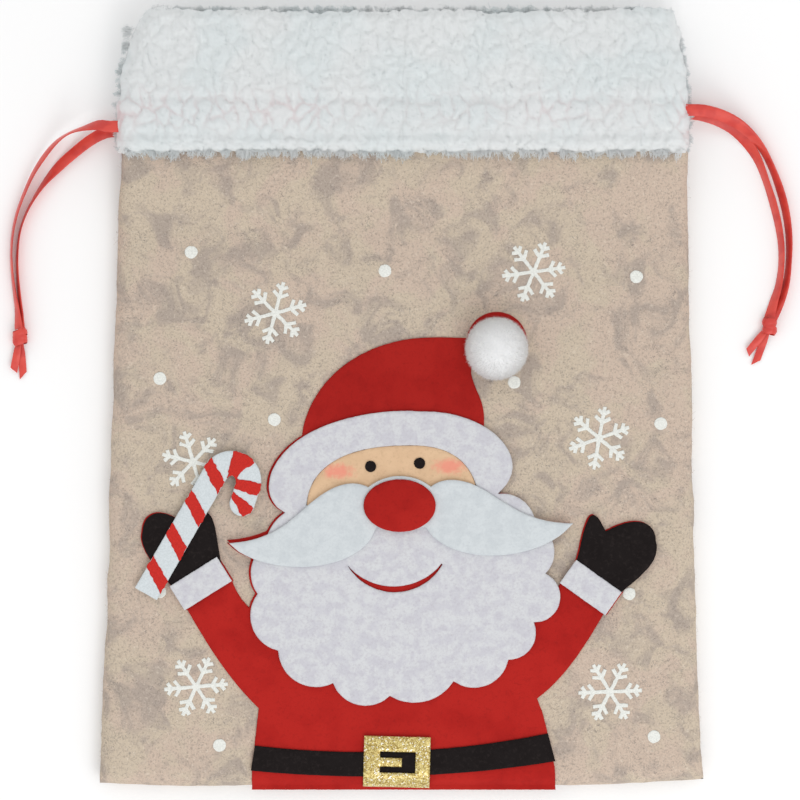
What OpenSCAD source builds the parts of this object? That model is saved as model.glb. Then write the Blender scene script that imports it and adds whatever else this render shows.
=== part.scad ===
// Felt gift sack, lying on its back: a felt body with a fleece cuff round its mouth, two
// drawstring ribbons in a tunnel inside the cuff, and a felt Father Christmas sewn on its front.
// Millimetres. X runs across the sack, Y from the bottom seam to the mouth, and Z up through its
// thickness. The origin is under the middle of the sack, on the surface that it lies on.

/* [Sack] */
// Whole length, from the bottom seam to the top of the fleece
sack_h = 400; // [396:1:420]
// Width of the felt at the bottom seam
bottom_w = 311; // [306:1:320]
// Width of the felt where the cuff starts
neck_w = 295; // [290:1:300]
// Thickness of the body as it lies
body_t = 14; // [12:0.5:16]
// Thickness of the felt
felt_t = 2.5; // [2:0.25:3]
// Length of the neck, which rises from the body to the middle of the cuff
neck_h = 36; // [30:1:45]

/* [Cuff] */
// Height of the fleece cuff
cuff_h = 76; // [70:1:80]
// Thickness of the cuff, front and back together
cuff_t = 28; // [26:1:32]
// Width of the cuff at its lower edge
cuff_low_w = 297; // [294:1:300]
// Width of the cuff at its top edge
cuff_top_w = 284; // [278:1:292]
// Gap between the front and the back at the mouth
mouth_gap = 6; // [5:0.5:7]
// Height of the tunnel that the ribbons run in
tunnel_h = 18; // [16:1:20]
// Height of the tunnel's lower side above the cuff's lower edge
tunnel_y = 10; // [8:1:14]

/* [Ribbon] */
// Width of the satin ribbon
ribbon_w = 6; // [5:0.5:6]
// Thickness of the ribbon as it is drawn here
ribbon_t = 1.2; // [1:0.1:1.5]
// Radius of each knot
knot_r = 4; // [3.5:0.25:4.5]
// Length of each cut tail below its knot
tail_l = 17; // [12:1:20]

/* [Figure] */
// Thickness of the thin felt that the figure is cut from
thin_t = 1.2; // [1:0.1:1.5]
// Thickness of the thick felt of the beard, the moustache and the nose
thick_t = 1.8; // [1.5:0.1:2]
// How far the red backing shows past the left of the pieces on it
backing_show = 1.2; // [0.5:0.1:1.5]
// Radius of the pompom
pompom_r = 15.5; // [13:0.5:16]
// How far each lobe of the beard bulges, as a share of its width
lobe_bulge = 0.27; // [0.15:0.01:0.3]

/* [Prints] */
// Radius of the snowflakes
flake_r = 16.3; // [14:0.1:17]
// Radius of the round snow dots
dot_r = 3.3; // [2.5:0.1:3.5]
// Thickness of the flocked prints
print_t = 0.35; // [0.3:0.05:0.5]

/* [Hidden] */
$fn = 48;

gap = 0.3;                       // between the front and the back, along the seams
far = 400;                       // longer than the sack either way
skin_r = body_t / 2;
top_y = sack_h / 2;
coat_y = -top_y;                 // the coat wraps the bottom seam, so it is the lowest edge
seam_y = coat_y + thin_t;
base_y = seam_y + skin_r;        // where the rounded bottom edge starts
cuff_y = top_y - cuff_h;
bend_y = cuff_y - neck_h;        // where the neck starts to rise
rise = cuff_t / 2 - skin_r;
half_base = bottom_w / 2 - skin_r;
half_neck = neck_w / 2 - skin_r;
cuff_wall = (cuff_t - mouth_gap) / 2;
side_wall = 11;                  // from the cuff's side to its mouth
slot_t = 3;                      // thickness of the tunnel inside each cuff
slot_z = 4.5;                    // from the cuff's face to the tunnel
figure_y = coat_y + 200;         // the figure keeps its place above the bottom seam
felt_top = body_t;

FELT = [0.79, 0.73, 0.66];
FLEECE = [0.93, 0.94, 0.94];
RED = [0.70, 0.12, 0.11];
SATIN = [0.80, 0.20, 0.17];
WHITE = [0.86, 0.87, 0.89];
PRINT = [0.92, 0.92, 0.88];
SKIN = [0.90, 0.75, 0.57];
BLACK = [0.13, 0.11, 0.10];
GOLD = [0.82, 0.70, 0.35];

// ---- outlines ----

function arc(c, r, a0, a1, n = 12) =
    [for (i = [0:n]) let (a = a0 + (a1 - a0) * i / n) c + r * [cos(a), sin(a)]];

function bezier(p, n = 10) =
    [for (i = [0:n]) let (t = i / n, s = 1 - t)
        s * s * s * p[0] + 3 * s * s * t * p[1] + 3 * s * t * t * p[2] + t * t * t * p[3]];

// A round bulge from a to b, to the right of the way from a to b, h high; b is left out
function bulge(a, b, h, n = 8) =
    let (d = b - a, c = norm(d) / 2, r = (c * c + h * h) / (2 * h), half = asin(c / r),
        side = [d.y, -d.x] / norm(d), mid = (a + b) / 2 - side * (r - h), start = atan2(side.y, side.x))
    [for (i = [0:n - 1]) let (t = start - half + 2 * half * i / n) mid + r * [cos(t), sin(t)]];

function backwards(points) = [for (i = [len(points) - 1:-1:0]) points[i]];

// Round bulges from point to point, to the left of the way, each its own share of its width high
function chain(points, shares) =
    [for (i = [0:len(points) - 2])
        each backwards(bulge(points[i + 1], points[i], shares[i] * norm(points[i + 1] - points[i])))];

// ---- the sack's shell ----

module rod(a, b, r) {
    d = b - a;
    translate(a)
        rotate([0, acos(d.z / norm(d)), atan2(d.y, d.x)])
            cylinder(h = norm(d), r = r);
}

// The seams' height above the table: level in the body, rising in the neck to the middle of the cuff
function seam_z(y) = skin_r + rise * max(0, y - bend_y) / neck_h;

function half_width(y) = half_base + (half_neck - half_base) * (max(y, base_y) - base_y) / (cuff_y - base_y);

// A panel's grid. Each stop is [place, lean]: lean is 0 where the panel is flat and 1 at its seam.
leans = [1, sin(75), sin(55), sin(35), sin(15), 0];
across = concat([for (l = leans) [-1, -l]], [for (l = backwards(leans)) [1, l]]);
along = concat([for (l = leans) [base_y, l]], [[bend_y, 0], [cuff_y, 0]]);

// The point of a panel's skin, r out from the surface that its seams lie on
function skin(u, v, side, r) =
    let (x = u[1] * sqrt(1 - v[1] * v[1] / 2), y = v[1] * sqrt(1 - u[1] * u[1] / 2),
        z = sqrt(max(0, 1 - x * x - y * y)))
    [u[0] * half_width(v[0]) + r * x, v[0] - r * y, seam_z(v[0]) + side * (gap / 2 + r * z)];

// A curved felt panel: side is -1 for the back and 1 for the front
module panel(side) {
    n = len(across);
    rows = len(along);
    count = n * rows;
    points = [for (r = [skin_r - gap / 2, skin_r - felt_t], v = along, u = across) skin(u, v, side, r)];
    outer = [for (j = [0:rows - 2], i = [0:n - 2]) [j * n + i, j * n + i + 1, (j + 1) * n + i + 1, (j + 1) * n + i]];
    inner = [for (f = outer) [for (k = backwards(f)) k + count]];
    rim = concat([for (i = [0:n - 1]) i], [for (j = [1:rows - 1]) j * n + n - 1],
        [for (i = [n - 2:-1:0]) (rows - 1) * n + i], [for (j = [rows - 2:-1:1]) j * n]);
    edge = [for (k = [0:len(rim) - 1]) let (a = rim[k], b = rim[(k + 1) % len(rim)])
        [a, a + count, b + count, b]];
    faces = concat(outer, inner, edge);
    color(FELT) polyhedron(points, side > 0 ? faces : [for (f = faces) backwards(f)], convexity = 4);
}

// ---- the fleece cuff ----

module cuff_plan() {
    r = 9;
    low = cuff_low_w / 2;
    top = cuff_top_w / 2;
    polygon(concat(
        [[-low, cuff_y], [low, cuff_y]],
        arc([top - r, top_y - r], r, 0, 90),
        arc([-top + r, top_y - r], r, 90, 180)));
}

module cuff_profile() {
    r = 10;
    polygon(concat(
        [[cuff_y, 0]],
        arc([top_y - r, r], r, -90, 0),
        arc([top_y - r, cuff_t - r], r, 0, 90),
        [[cuff_y, cuff_t]]));
}

module cuff_section() {
    r = 11;
    x = cuff_low_w / 2 - r;
    polygon(concat(
        arc([x, r], r, -90, 0),
        arc([x, cuff_t - r], r, 0, 90),
        arc([-x, cuff_t - r], r, 90, 180),
        arc([-x, r], r, 180, 270)));
}

module cuff(side) {
    mouth_w = cuff_low_w - 2 * side_wall;
    slot_mid = side > 0 ? cuff_t - slot_z - slot_t / 2 : slot_z + slot_t / 2;
    color(FLEECE)
        difference() {
            intersection() {
                linear_extrude(cuff_t) cuff_plan();
                rotate([90, 0, 90]) translate([0, 0, -far]) linear_extrude(2 * far) cuff_profile();
                rotate([90, 0, 0]) translate([0, 0, -far]) linear_extrude(2 * far) cuff_section();
            }
            // the other half, and the gap along the side seams
            translate([-far, -far, side > 0 ? cuff_t / 2 + gap / 2 - far : cuff_t / 2 - gap / 2])
                cube([2 * far, 2 * far, far]);
            // the mouth
            translate([-mouth_w / 2, -far, cuff_wall]) cube([mouth_w, 2 * far, mouth_gap]);
            // the ribbon tunnel, and its way out through both side seams
            translate([-far, cuff_y + tunnel_y, slot_mid - slot_t / 2]) cube([2 * far, tunnel_h, slot_t]);
            for (s = [-1, 1])
                translate([s > 0 ? mouth_w / 2 - 1 : -far, cuff_y + tunnel_y, slot_z])
                    cube([far - mouth_w / 2 + 1, tunnel_h, cuff_t - 2 * slot_z]);
        }
}

// ---- ribbons ----

exit_x = cuff_low_w / 2 + 0.5;
run_low = slot_z + slot_t / 2;                     // height of the run in the back tunnel
run_high = cuff_t - run_low;                       // and of the run in the front tunnel
left_run_y = cuff_y + tunnel_y + 4.5;
right_run_y = cuff_y + tunnel_y + tunnel_h - 4.5;

// One ribbon's hidden part: in through a side seam, along one tunnel, round and back along the other
module ribbon_loop(run_y, side) {
    r = (run_high - run_low) / 2;
    turn_x = exit_x - 4 - r;
    color(SATIN)
        translate([0, run_y + ribbon_w / 2, 0])
            rotate([90, 0, 0])
                linear_extrude(ribbon_w)
                    mirror([side > 0 ? 1 : 0, 0]) {
                        for (z = [run_low, run_high])
                            translate([-exit_x, z - ribbon_t / 2]) square([exit_x + turn_x, ribbon_t]);
                        intersection() {
                            translate([turn_x, cuff_t / 2])
                                difference() {
                                    circle(r + ribbon_t / 2);
                                    circle(r - ribbon_t / 2);
                                }
                            translate([turn_x, 0]) square([far, cuff_t]);
                        }
                    }
}

// The free strands' centre lines, from the side seam to the knot
left_front_route = [[-149, 138.5, 22], [-155, 139.5, 20.5], [-163, 138.5, 15], [-171, 136, 9.5],
    [-178, 131.5, 5.5], [-184, 124.5, 3.8], [-189.5, 116, 3.2], [-194, 106, 2.9], [-197.5, 96, 2.7],
    [-200, 86, 2.5], [-201, 76, 2.4], [-200.5, 66, 2.4], [-199, 56, 2.5], [-197.5, 47, 3], [-196.8, 34.5, 4]];
left_back_route = [[-149, 138.5, 6], [-155, 136.5, 5], [-161, 132.5, 3.5], [-168, 127, 2], [-176, 120, 1],
    [-184, 112, 0.8], [-190.5, 104, 0.8], [-195, 95, 0.8], [-198, 85, 0.8], [-199, 75, 0.8],
    [-198.5, 65, 0.8], [-197.2, 55, 0.8], [-196, 46, 1.2], [-196.2, 34.5, 2.6]];
right_front_route = [[149, 147.5, 22], [155, 147, 21.5], [163, 145, 17.5], [171, 141.5, 11.5],
    [178, 136.5, 6.8], [184.5, 129, 4.2], [190, 118, 3.2], [194.5, 106, 2.8], [197.5, 94, 2.6],
    [198.5, 82, 2.4], [198.5, 70, 2.4], [197.5, 59, 2.5], [194.5, 50, 3], [189.5, 40, 4]];
right_back_route = [[149, 147.5, 6], [155, 146, 5.2], [162, 143.5, 3.6], [170, 139, 2], [177.5, 132, 1],
    [183, 123, 0.8], [187, 112, 0.8], [190.5, 101, 0.8], [193.5, 90, 0.8], [195, 79, 0.8],
    [195, 68, 0.8], [193.5, 58, 0.8], [191, 50, 1.2], [188.3, 40, 2.6]];
left_knot_at = [-196.5, 32, knot_r];
right_knot_at = [188.5, 37.5, knot_r];

// The flat ribbon's outline across its way: first number sideways, second up
section = [for (a = [22.5:45:337.5]) [ribbon_w / 2 * cos(a) / cos(22.5), ribbon_t / 2 * sin(a) / sin(67.5)]];

function way(route, i) =
    let (d = route[min(i + 1, len(route) - 1)] - route[max(i - 1, 0)]) i == 0 ? [sign(d.x), 0, 0] : d / norm(d);

function ring(route, i) =
    let (d = way(route, i), s = cross([0, 0, 1], d), across = s / norm(s), up = cross(d, across))
    [for (p = section) route[i] + p.x * across + p.y * up];

module strand(route) {
    n = len(section);
    last = len(route) - 1;
    points = [for (i = [0:last]) each ring(route, i)];
    sides = [for (i = [0:last - 1], k = [0:n - 1]) let (a = i * n + k, b = i * n + (k + 1) % n)
        each [[a, a + n, b + n], [a, b + n, b]]];
    start = [for (k = [0:n - 1]) k];
    end = [for (k = [n - 1:-1:0]) last * n + k];
    color(SATIN) polyhedron(points, concat([start, end], sides), convexity = 6);
}

module knot(at) {
    color(SATIN) translate(at) sphere(knot_r);
}

// Two cut ends below a knot, one over the other, spread a little
module tails(at, heading) {
    cut = 2.5;
    color(SATIN)
        for (k = [0, 1])
            translate([at.x, at.y, 0.2 + k * (ribbon_t + gap)])
                rotate([0, 0, heading + (k - 0.5) * 14])
                    linear_extrude(ribbon_t)
                        polygon([[knot_r - 1.5, -2.2], [knot_r + tail_l - cut * k, -2.2],
                            [knot_r + tail_l - cut * (1 - k), 2.2], [knot_r - 1.5, 2.2]]);
}

// ---- the figure's outlines, measured from a point 200 above the bottom seam ----

// The beard's notches, clockwise, and how full each lobe between them is
beard_notches = [[48.6, -48.4], [68, -64], [73, -89], [67, -114], [54, -133], [26, -144], [-6.5, -151.5],
    [-35.5, -145], [-63.5, -128.5], [-74, -99.5], [-70, -74], [-60, -58]];
lobe_fullness = [0.8, 1, 1.5, 1, 1, 0.75, 1, 1, 1, 0.75, 0.4];
brim_and_beard = concat(
    bezier([[-60, -58], [-72, -52], [-72, -34], [-52, -20]]),
    bezier([[-52, -20], [-34, -8], [-6, -5], [8, -6.3]]),
    bezier([[8, -6.3], [44, -5], [69.5, -30.5], [48.6, -48.4]]),
    chain(beard_notches, lobe_bulge * lobe_fullness));
window = concat(
    bezier([[-49, -54], [-47.3, -33], [-27, -23.5], [3, -23.7]]),
    bezier([[3, -23.7], [22, -23.2], [34, -30], [38, -46]]),
    [[30, -60], [-38, -62]]);
smile = concat(
    bulge([-28, -85], [22, -81], 15.6, 16),
    backwards(bulge([-28, -85], [22, -81], 12.6, 16)));
whiskers = concat(
    bezier([[11.5, -65.2], [24, -86], [70, -84], [87, -63.4]]),
    bezier([[87, -63.4], [66, -63], [58, -56.5], [42, -46.5]]),
    bezier([[42, -46.5], [30, -39.5], [20, -40], [14.5, -44.7]]),
    bulge([14.5, -44.7], [-17.5, -45], 5.6),
    bezier([[-17.5, -45], [-24, -41.5], [-33, -42], [-45, -51.5]]),
    bezier([[-45, -51.5], [-56, -60], [-64, -72], [-88.5, -73.5]]),
    bezier([[-88.5, -73.5], [-74, -90], [-22, -92], [-13, -65]]));
hat = concat(
    bezier([[-52, -22], [-49, 10], [-20, 32], [17, 31.5]]),
    bezier([[17, 31.5], [27, 31.6], [38, 31], [44, 30]]),
    bezier([[44, 20], [30, 20], [36, 10], [38, 4]]),
    bezier([[38, 4], [41, -2], [42, -6], [41.5, -14]]),
    [[20, -16], [-30, -24]]);
coat = [[-73.5, -158], [-78.2, -200], [80.3, -200], [72.5, -164], [68.7, -153], [60, -120], [-60, -120]];
sleeve_left = concat(
    bezier([[-73.5, -158], [-92, -140], [-104, -118], [-112, -104]]),
    bezier([[-87, -93], [-84, -101], [-80, -106], [-70, -114]]),
    [[-50, -120], [-50, -158]]);
sleeve_right = concat(
    bezier([[68.7, -153], [87, -139], [97, -119], [105, -106]]),
    bezier([[81, -93], [79, -98], [76, -102], [66, -110]]),
    [[50, -115], [50, -153]]);
// Mittens with the wrist at the origin, the palm to the left and the thumb to the right
left_mitten = concat(
    bezier([[-12.5, -2], [-13.5, 14], [-19, 31], [-11, 38.5]]),
    bezier([[-11, 38.5], [-6, 45.5], [3.5, 46.5], [10.3, 27.8]]),
    bezier([[10.3, 27.8], [14, 29.5], [22, 35], [22.6, 26.5]]),
    bezier([[22.6, 26.5], [22.5, 20], [17, 12], [12.5, -2]]));
right_mitten = concat(
    bezier([[-12.5, -2], [-14.5, 14], [-24, 30], [-13.2, 39]]),
    bezier([[-13.2, 39], [-7.5, 46], [2, 45], [10.3, 27.8]]),
    bezier([[10.3, 27.8], [13, 29], [24, 36.5], [20.6, 25]]),
    bezier([[20.6, 25], [19, 18], [13.5, 10], [11.5, -2]]));
cuff_piece = [28.5, 14.5];
left_wrist = [-103, -94.2];
right_wrist = [96, -96.2];
left_turn = 32;
right_turn = -35.5;
nose_at = [-1.5, -54.3];
nose_size = [18.4, 13.4];
pompom_at = [47.8, 25.6];

module left_mitten_shape() {
    translate(left_wrist) rotate(left_turn) polygon(left_mitten);
}

module right_mitten_shape() {
    translate(right_wrist) rotate(right_turn) mirror([1, 0]) polygon(right_mitten);
}

module sleeve_cuff_shape(at, turn) {
    translate(at) rotate(turn) square(cuff_piece, center = true);
}

module backing_shape() {
    polygon(hat);
    translate(pompom_at + [0.4, 3.4]) circle(pompom_r);
    polygon(coat);
    polygon(sleeve_left);
    polygon(sleeve_right);
    translate([-backing_show, 0.3]) polygon(brim_and_beard);
    translate([-backing_show / 2, 0.4]) {
        left_mitten_shape();
        right_mitten_shape();
    }
    translate([-backing_show, 0]) polygon(whiskers);
    intersection() {
        translate([-backing_show, 1.5]) polygon(whiskers);
        translate([-far, -far]) square([far, 2 * far]);
    }
    translate([0.8, 0]) {
        sleeve_cuff_shape(left_wrist, left_turn);
        sleeve_cuff_shape(right_wrist, right_turn);
    }
}

// A flat piece of the figure, cut to a shape, with its underside z above the table
module cut_out(z, t) {
    translate([0, figure_y, z]) linear_extrude(t) children();
}

level_1 = felt_top + thin_t;
level_2 = level_1 + thick_t;

module red_backing() {
    color(RED) {
        intersection() {
            cut_out(felt_top, thin_t) backing_shape();
            translate([-far, base_y, 0]) cube([2 * far, far, far]);
        }
        // the coat's hem, which follows the sack round to the bottom seam
        intersection() {
            difference() {
                rod([-78, base_y, skin_r], [80, base_y, skin_r], skin_r + thin_t);
                rod([-far, base_y, skin_r], [far, base_y, skin_r], skin_r);
            }
            translate([-far, base_y - far + 0.5, skin_r + gap / 2]) cube([2 * far, far, far]);
        }
    }
}

module face() {
    color(SKIN) cut_out(level_1, thin_t) polygon(window);
}

module eye(at) {
    color(BLACK) cut_out(level_1 + thin_t, 0.8) translate(at) circle(2.85);
}

module beard_and_brim() {
    color(WHITE)
        cut_out(level_1, thick_t)
            difference() {
                polygon(brim_and_beard);
                polygon(window);
                polygon(smile);
            }
}

module moustache() {
    color(WHITE) cut_out(level_2, thick_t) polygon(whiskers);
}

module nose() {
    color(RED)
        cut_out(level_2 + thick_t, thick_t)
            polygon([for (a = [0:10:350]) nose_at + [nose_size.x * cos(a), nose_size.y * sin(a)]]);
}

module mitten_piece() {
    color(BLACK) cut_out(level_1, thin_t) children();
}

module sleeve_cuff(at, turn) {
    color(WHITE)
        cut_out(level_1 + thin_t, thin_t) sleeve_cuff_shape(at, turn);
}

// ---- the candy cane: a straight stick, a hook and a short end ----

cane_w = 12.8;
cane_foot = [-131, -99.5];
cane_turn = 60;
hook_r = 8.9;
cane_l = 71.9;
end_turn = 168;                  // how far the hook turns
end_l = 9.4;
band_pitch = 19.5;
end_lean = 180 - end_turn;
hook_at = [hook_r, cane_l];      // the hook's centre, seen from the stick's foot
end_at = hook_at + hook_r * [cos(end_lean), sin(end_lean)] + end_l * [sin(end_lean), -cos(end_lean)];
cane_outline = concat(
    [[cane_w / 2, 0], [-cane_w / 2, 0]],
    arc(hook_at, hook_r + cane_w / 2, 180, end_lean, 24),
    arc(end_at, cane_w / 2, end_lean, end_lean - 180, 12),
    arc(hook_at, hook_r - cane_w / 2, end_lean, 180, 12));

// The frame that the cane is drawn in: its origin at the stick's foot, +Y up the stick
module cane_frame() {
    translate(cane_foot) rotate(cane_turn - 90) children();
}

module cane_shape() {
    cane_frame() polygon(cane_outline);
}

// The hook's bands, each from its inner side round by its outer one, seen from the hook's centre
hook_bands = [
    [[-2, 1.5], [1.3, 17], [15.5, 11], [6.8, 6], [2, 0.8]],
    [[1.5, 1.3], [17, -1.8], [16, -9], [1, -3.8]],
    [[0, -4.6], [12.5, -14.8], [9, -20], [5.4, -18], [-1.5, -6]]];

module band_shapes() {
    cane_frame() {
        for (i = [0:3])
            translate([0, 12 + i * band_pitch])
                polygon([[-cane_w / 2, 0.2], [cane_w / 2, -8.2], [cane_w / 2, -0.6], [-cane_w / 2, 7]]);
        translate(hook_at)
            rotate(90 - cane_turn)
                for (band = hook_bands) polygon(band);
    }
}

module candy_cane() {
    color(WHITE) cut_out(level_1 + thin_t, thin_t) cane_shape();
}

module candy_stripes() {
    color(RED)
        cut_out(level_1 + 2 * thin_t, 0.3)
            intersection() {
                cane_shape();
                band_shapes();
            }
}

// ---- belt, buckle, pompom and prints ----

module belt() {
    color(BLACK)
        cut_out(level_1, thin_t)
            polygon(concat(
                bulge([-75.5, -177], [74.2, -170.7], 6, 14), [[74.2, -170.7], [78, -184.8]],
                backwards(bulge([-77.5, -189.7], [78, -184.8], 5.2, 14))));
}

module buckle() {
    size = [34, 26.6];
    slot = [18, 10.6];
    prong = [11.2, 4.6];
    color(GOLD)
        cut_out(level_1 + thin_t, thin_t)
            translate([-2.9, -185.4])
                rotate(-1.5) {
                    difference() {
                        square(size, center = true);
                        translate([0.4, 0]) square(slot, center = true);
                    }
                    translate([0.4 - slot.x / 2, -prong.y / 2]) square(prong);
                }
}

module pompom() {
    base_z = level_1;
    sunk = 4.5;
    color(WHITE)
        intersection() {
            translate([pompom_at.x, pompom_at.y + figure_y, base_z + pompom_r - sunk]) sphere(pompom_r);
            translate([-far, -far, base_z]) cube(2 * far);
        }
}

flakes = [[-65, 44, 15], [67, 65, 8], [-107, -32.1, 46.5], [100.5, -20, 20], [-105.5, -147, 5], [106, -149.5, 2]];
dots = [[-108, 75], [-9, 65.5], [119.5, 62.5], [-124, 10.5], [-65.5, -10.5], [57, 8.5], [132, -12.5],
    [115.8, -99.5], [128.5, -172.5], [-93.5, -177], [-124, -98.4]];

// Half of a snowflake's arm along +X: two side branches, then the tip
function half_arm(w = 0.95, lean = 55) =
    [for (b = [[0.5, 0.3], [0.76, 0.22]])
        let (a = b[0] * flake_r, l = b[1] * flake_r, u = [cos(lean), sin(lean)], n = [-u.y, u.x])
            each [[a - w * u.y + (w - w * u.x) / u.y * u.x, w], [a, 0] + l * u + w * n,
                [a, 0] + l * u - w * n, [a + w * u.y + (w + w * u.x) / u.y * u.x, w]]];

flake_outline =
    let (w = 0.95, up = half_arm(w), tip = [[flake_r, w], [flake_r, -w]],
        down = [for (p = backwards(up)) [p.x, -p.y]],
        arm = concat([[2 * w, w]], up, tip, down, [[2 * w, -w]]))
    [for (k = [5:-1:0], p = arm) [p.x * cos(60 * k) - p.y * sin(60 * k), p.x * sin(60 * k) + p.y * cos(60 * k)]];

module snowflake(place) {
    color(PRINT)
        cut_out(felt_top, print_t)
            translate([place.x, place.y]) rotate(place.z) polygon(flake_outline);
}

module snow_dots() {
    color(PRINT)
        cut_out(felt_top, print_t)
            for (p = dots) translate(p) circle(dot_r, $fn = 24);
}

panel(-1);  // back_panel
cuff(-1);  // back_cuff
panel(1);  // front_panel
cuff(1);  // front_cuff
red_backing();
face();
eye([-16.3, -34.4]);  // left_eye
eye([8.7, -32.8]);  // right_eye
beard_and_brim();
moustache();
nose();
mitten_piece() left_mitten_shape();  // left_mitten
mitten_piece() right_mitten_shape();  // right_mitten
sleeve_cuff(left_wrist, left_turn);  // left_sleeve_cuff
sleeve_cuff(right_wrist, right_turn);  // right_sleeve_cuff
candy_cane();
candy_stripes();
belt();
buckle();
pompom();
for (i = [0:5])
    snowflake(flakes[i]);
snow_dots();
strand(left_front_route);  // left_ribbon_front_strand
strand(left_back_route);  // left_ribbon_back_strand
ribbon_loop(left_run_y, -1);  // left_ribbon_loop
knot(left_knot_at);  // left_knot
tails(left_knot_at, -90);  // left_ribbon_tails
strand(right_front_route);  // right_ribbon_front_strand
strand(right_back_route);  // right_ribbon_back_strand
ribbon_loop(right_run_y, 1);  // right_ribbon_loop
knot(right_knot_at);  // right_knot
tails(right_knot_at, -120);  // right_ribbon_tails
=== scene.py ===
import math

import bpy
import numpy as np
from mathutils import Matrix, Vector
from mathutils.geometry import delaunay_2d_cdt


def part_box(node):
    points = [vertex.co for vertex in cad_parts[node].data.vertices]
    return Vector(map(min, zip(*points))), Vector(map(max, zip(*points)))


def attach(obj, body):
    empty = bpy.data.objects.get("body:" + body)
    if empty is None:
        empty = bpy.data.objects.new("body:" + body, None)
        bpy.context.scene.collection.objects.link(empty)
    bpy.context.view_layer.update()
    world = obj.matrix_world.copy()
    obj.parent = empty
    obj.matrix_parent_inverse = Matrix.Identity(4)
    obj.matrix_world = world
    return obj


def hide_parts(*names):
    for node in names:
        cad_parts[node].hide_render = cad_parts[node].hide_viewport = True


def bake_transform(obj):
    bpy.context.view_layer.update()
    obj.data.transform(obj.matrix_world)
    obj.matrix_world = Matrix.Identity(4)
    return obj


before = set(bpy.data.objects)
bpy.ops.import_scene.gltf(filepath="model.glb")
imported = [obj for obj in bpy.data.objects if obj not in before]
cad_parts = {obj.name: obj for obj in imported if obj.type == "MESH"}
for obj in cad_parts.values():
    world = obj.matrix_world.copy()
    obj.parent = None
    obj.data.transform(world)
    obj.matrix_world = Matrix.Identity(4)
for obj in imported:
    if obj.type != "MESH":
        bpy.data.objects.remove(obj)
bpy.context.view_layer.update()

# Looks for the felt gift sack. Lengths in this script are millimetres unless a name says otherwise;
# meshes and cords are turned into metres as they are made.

MM = 0.001
SEED = 11
rng = np.random.default_rng(SEED)


def box_mm(node):
    low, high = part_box(node)
    return np.array(low) / MM, np.array(high) / MM


# ---- sizes read from the frame ----

FELT_TOP = box_mm("snow_dots")[0][2]
CUFF_LOW, CUFF_HIGH = box_mm("front_cuff")
COAT_LOW, COAT_HIGH = box_mm("red_backing")
CUFF_Y, TOP_Y, CUFF_TOP_Z = CUFF_LOW[1], CUFF_HIGH[1], CUFF_HIGH[2]
BODY_SEAM_Z, CUFF_SEAM_Z = FELT_TOP / 2, CUFF_TOP_Z / 2
NECK = 36                       # length of the slope from the body up to the middle of the cuff
FELT = 2.5                      # thickness of the sack's felt
SEAM_GAP = 0.15                 # half the gap between front and back along the seams
EDGE_ROUND = 9                  # how far in from its edge the sack reaches its full thickness
BLEND_OUT, BLEND_IN = 148, 92   # BLEND_OUT is not used; pieces that reach out past BLEND_IN at a side go with that side's cloth, not the front

# ---- camera ----

VIEW_WIDTH = 408.8
CAMERA_AT = (-1.3, -0.5, 2000)
SENSOR = 36


def make_camera():
    data = bpy.data.cameras.new("camera")
    data.sensor_width = SENSOR
    data.lens = SENSOR * (CAMERA_AT[2] - FELT_TOP) / VIEW_WIDTH
    camera = bpy.data.objects.new("camera", data)
    camera.location = Vector(CAMERA_AT) * MM
    bpy.context.scene.collection.objects.link(camera)
    bpy.context.scene.camera = camera


# ---- noise ----

def lattice(ix, iy, iz, seed):
    """A random number from 0 to 1 for each point of a grid of whole numbers."""
    n = ix * 374761393 + iy * 668265263 + iz * 1440662683 + seed * 974634777
    n = (n ^ (n >> 13)) * 1274126177
    return ((n ^ (n >> 16)) & 0xFFFFFF) / 0xFFFFFF


def noise(points, size, seed=0):
    """Smooth noise from -1 to 1 at (n, 3) points, with bumps about size across."""
    p = np.asarray(points, float) / size
    base = np.floor(p).astype(np.int64)
    f = p - base
    f = f * f * (3 - 2 * f)
    total = np.zeros(len(p))
    for dx in (0, 1):
        for dy in (0, 1):
            for dz in (0, 1):
                w = np.abs(1 - dx - f[:, 0]) * np.abs(1 - dy - f[:, 1]) * np.abs(1 - dz - f[:, 2])
                total += w * lattice(base[:, 0] + dx, base[:, 1] + dy, base[:, 2] + dz, seed)
    return total * 2 - 1


def fractal(points, size, octaves, seed=0):
    parts = [noise(points, size / 2 ** k, seed + k) / 2 ** k for k in range(octaves)]
    return sum(parts) / (2 - 2 ** (1 - octaves))


def flat_noise(x, y, size, seed=0):
    return noise(np.stack([x.ravel(), y.ravel(), np.zeros(x.size)], 1), size, seed).reshape(x.shape)


def domes(u, v, size, seed=0):
    """Round humps, 1 at each hump's middle and 0 in the creases between them, at 2-D places."""
    p = np.stack([u.ravel(), v.ravel()], 1) / size
    base = np.floor(p).astype(np.int64)
    nearest = np.full(len(p), 9.0)
    second = np.full(len(p), 9.0)
    for dx in (-1, 0, 1):
        for dy in (-1, 0, 1):
            cell = base + (dx, dy)
            shift = np.stack([lattice(cell[:, 0], cell[:, 1], k, seed) for k in (0, 1)], 1)
            d = np.linalg.norm(p - cell - shift, axis=1)
            second = np.minimum(second, np.maximum(d, nearest))
            nearest = np.minimum(nearest, d)
    t = np.clip((second - nearest) / 0.85, 0, 1)
    return (1 - (1 - t) ** 2).reshape(u.shape)


# ---- meshes ----

def make(name, points, faces, material, smooth=True):
    mesh = bpy.data.meshes.new(name)
    mesh.from_pydata((np.asarray(points, float) * MM).tolist(), [], faces)
    mesh.polygons.foreach_set("use_smooth", [smooth] * len(mesh.polygons))
    mesh.materials.append(material)
    mesh.update()
    obj = bpy.data.objects.new(name, mesh)
    bpy.context.scene.collection.objects.link(obj)
    return obj


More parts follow.
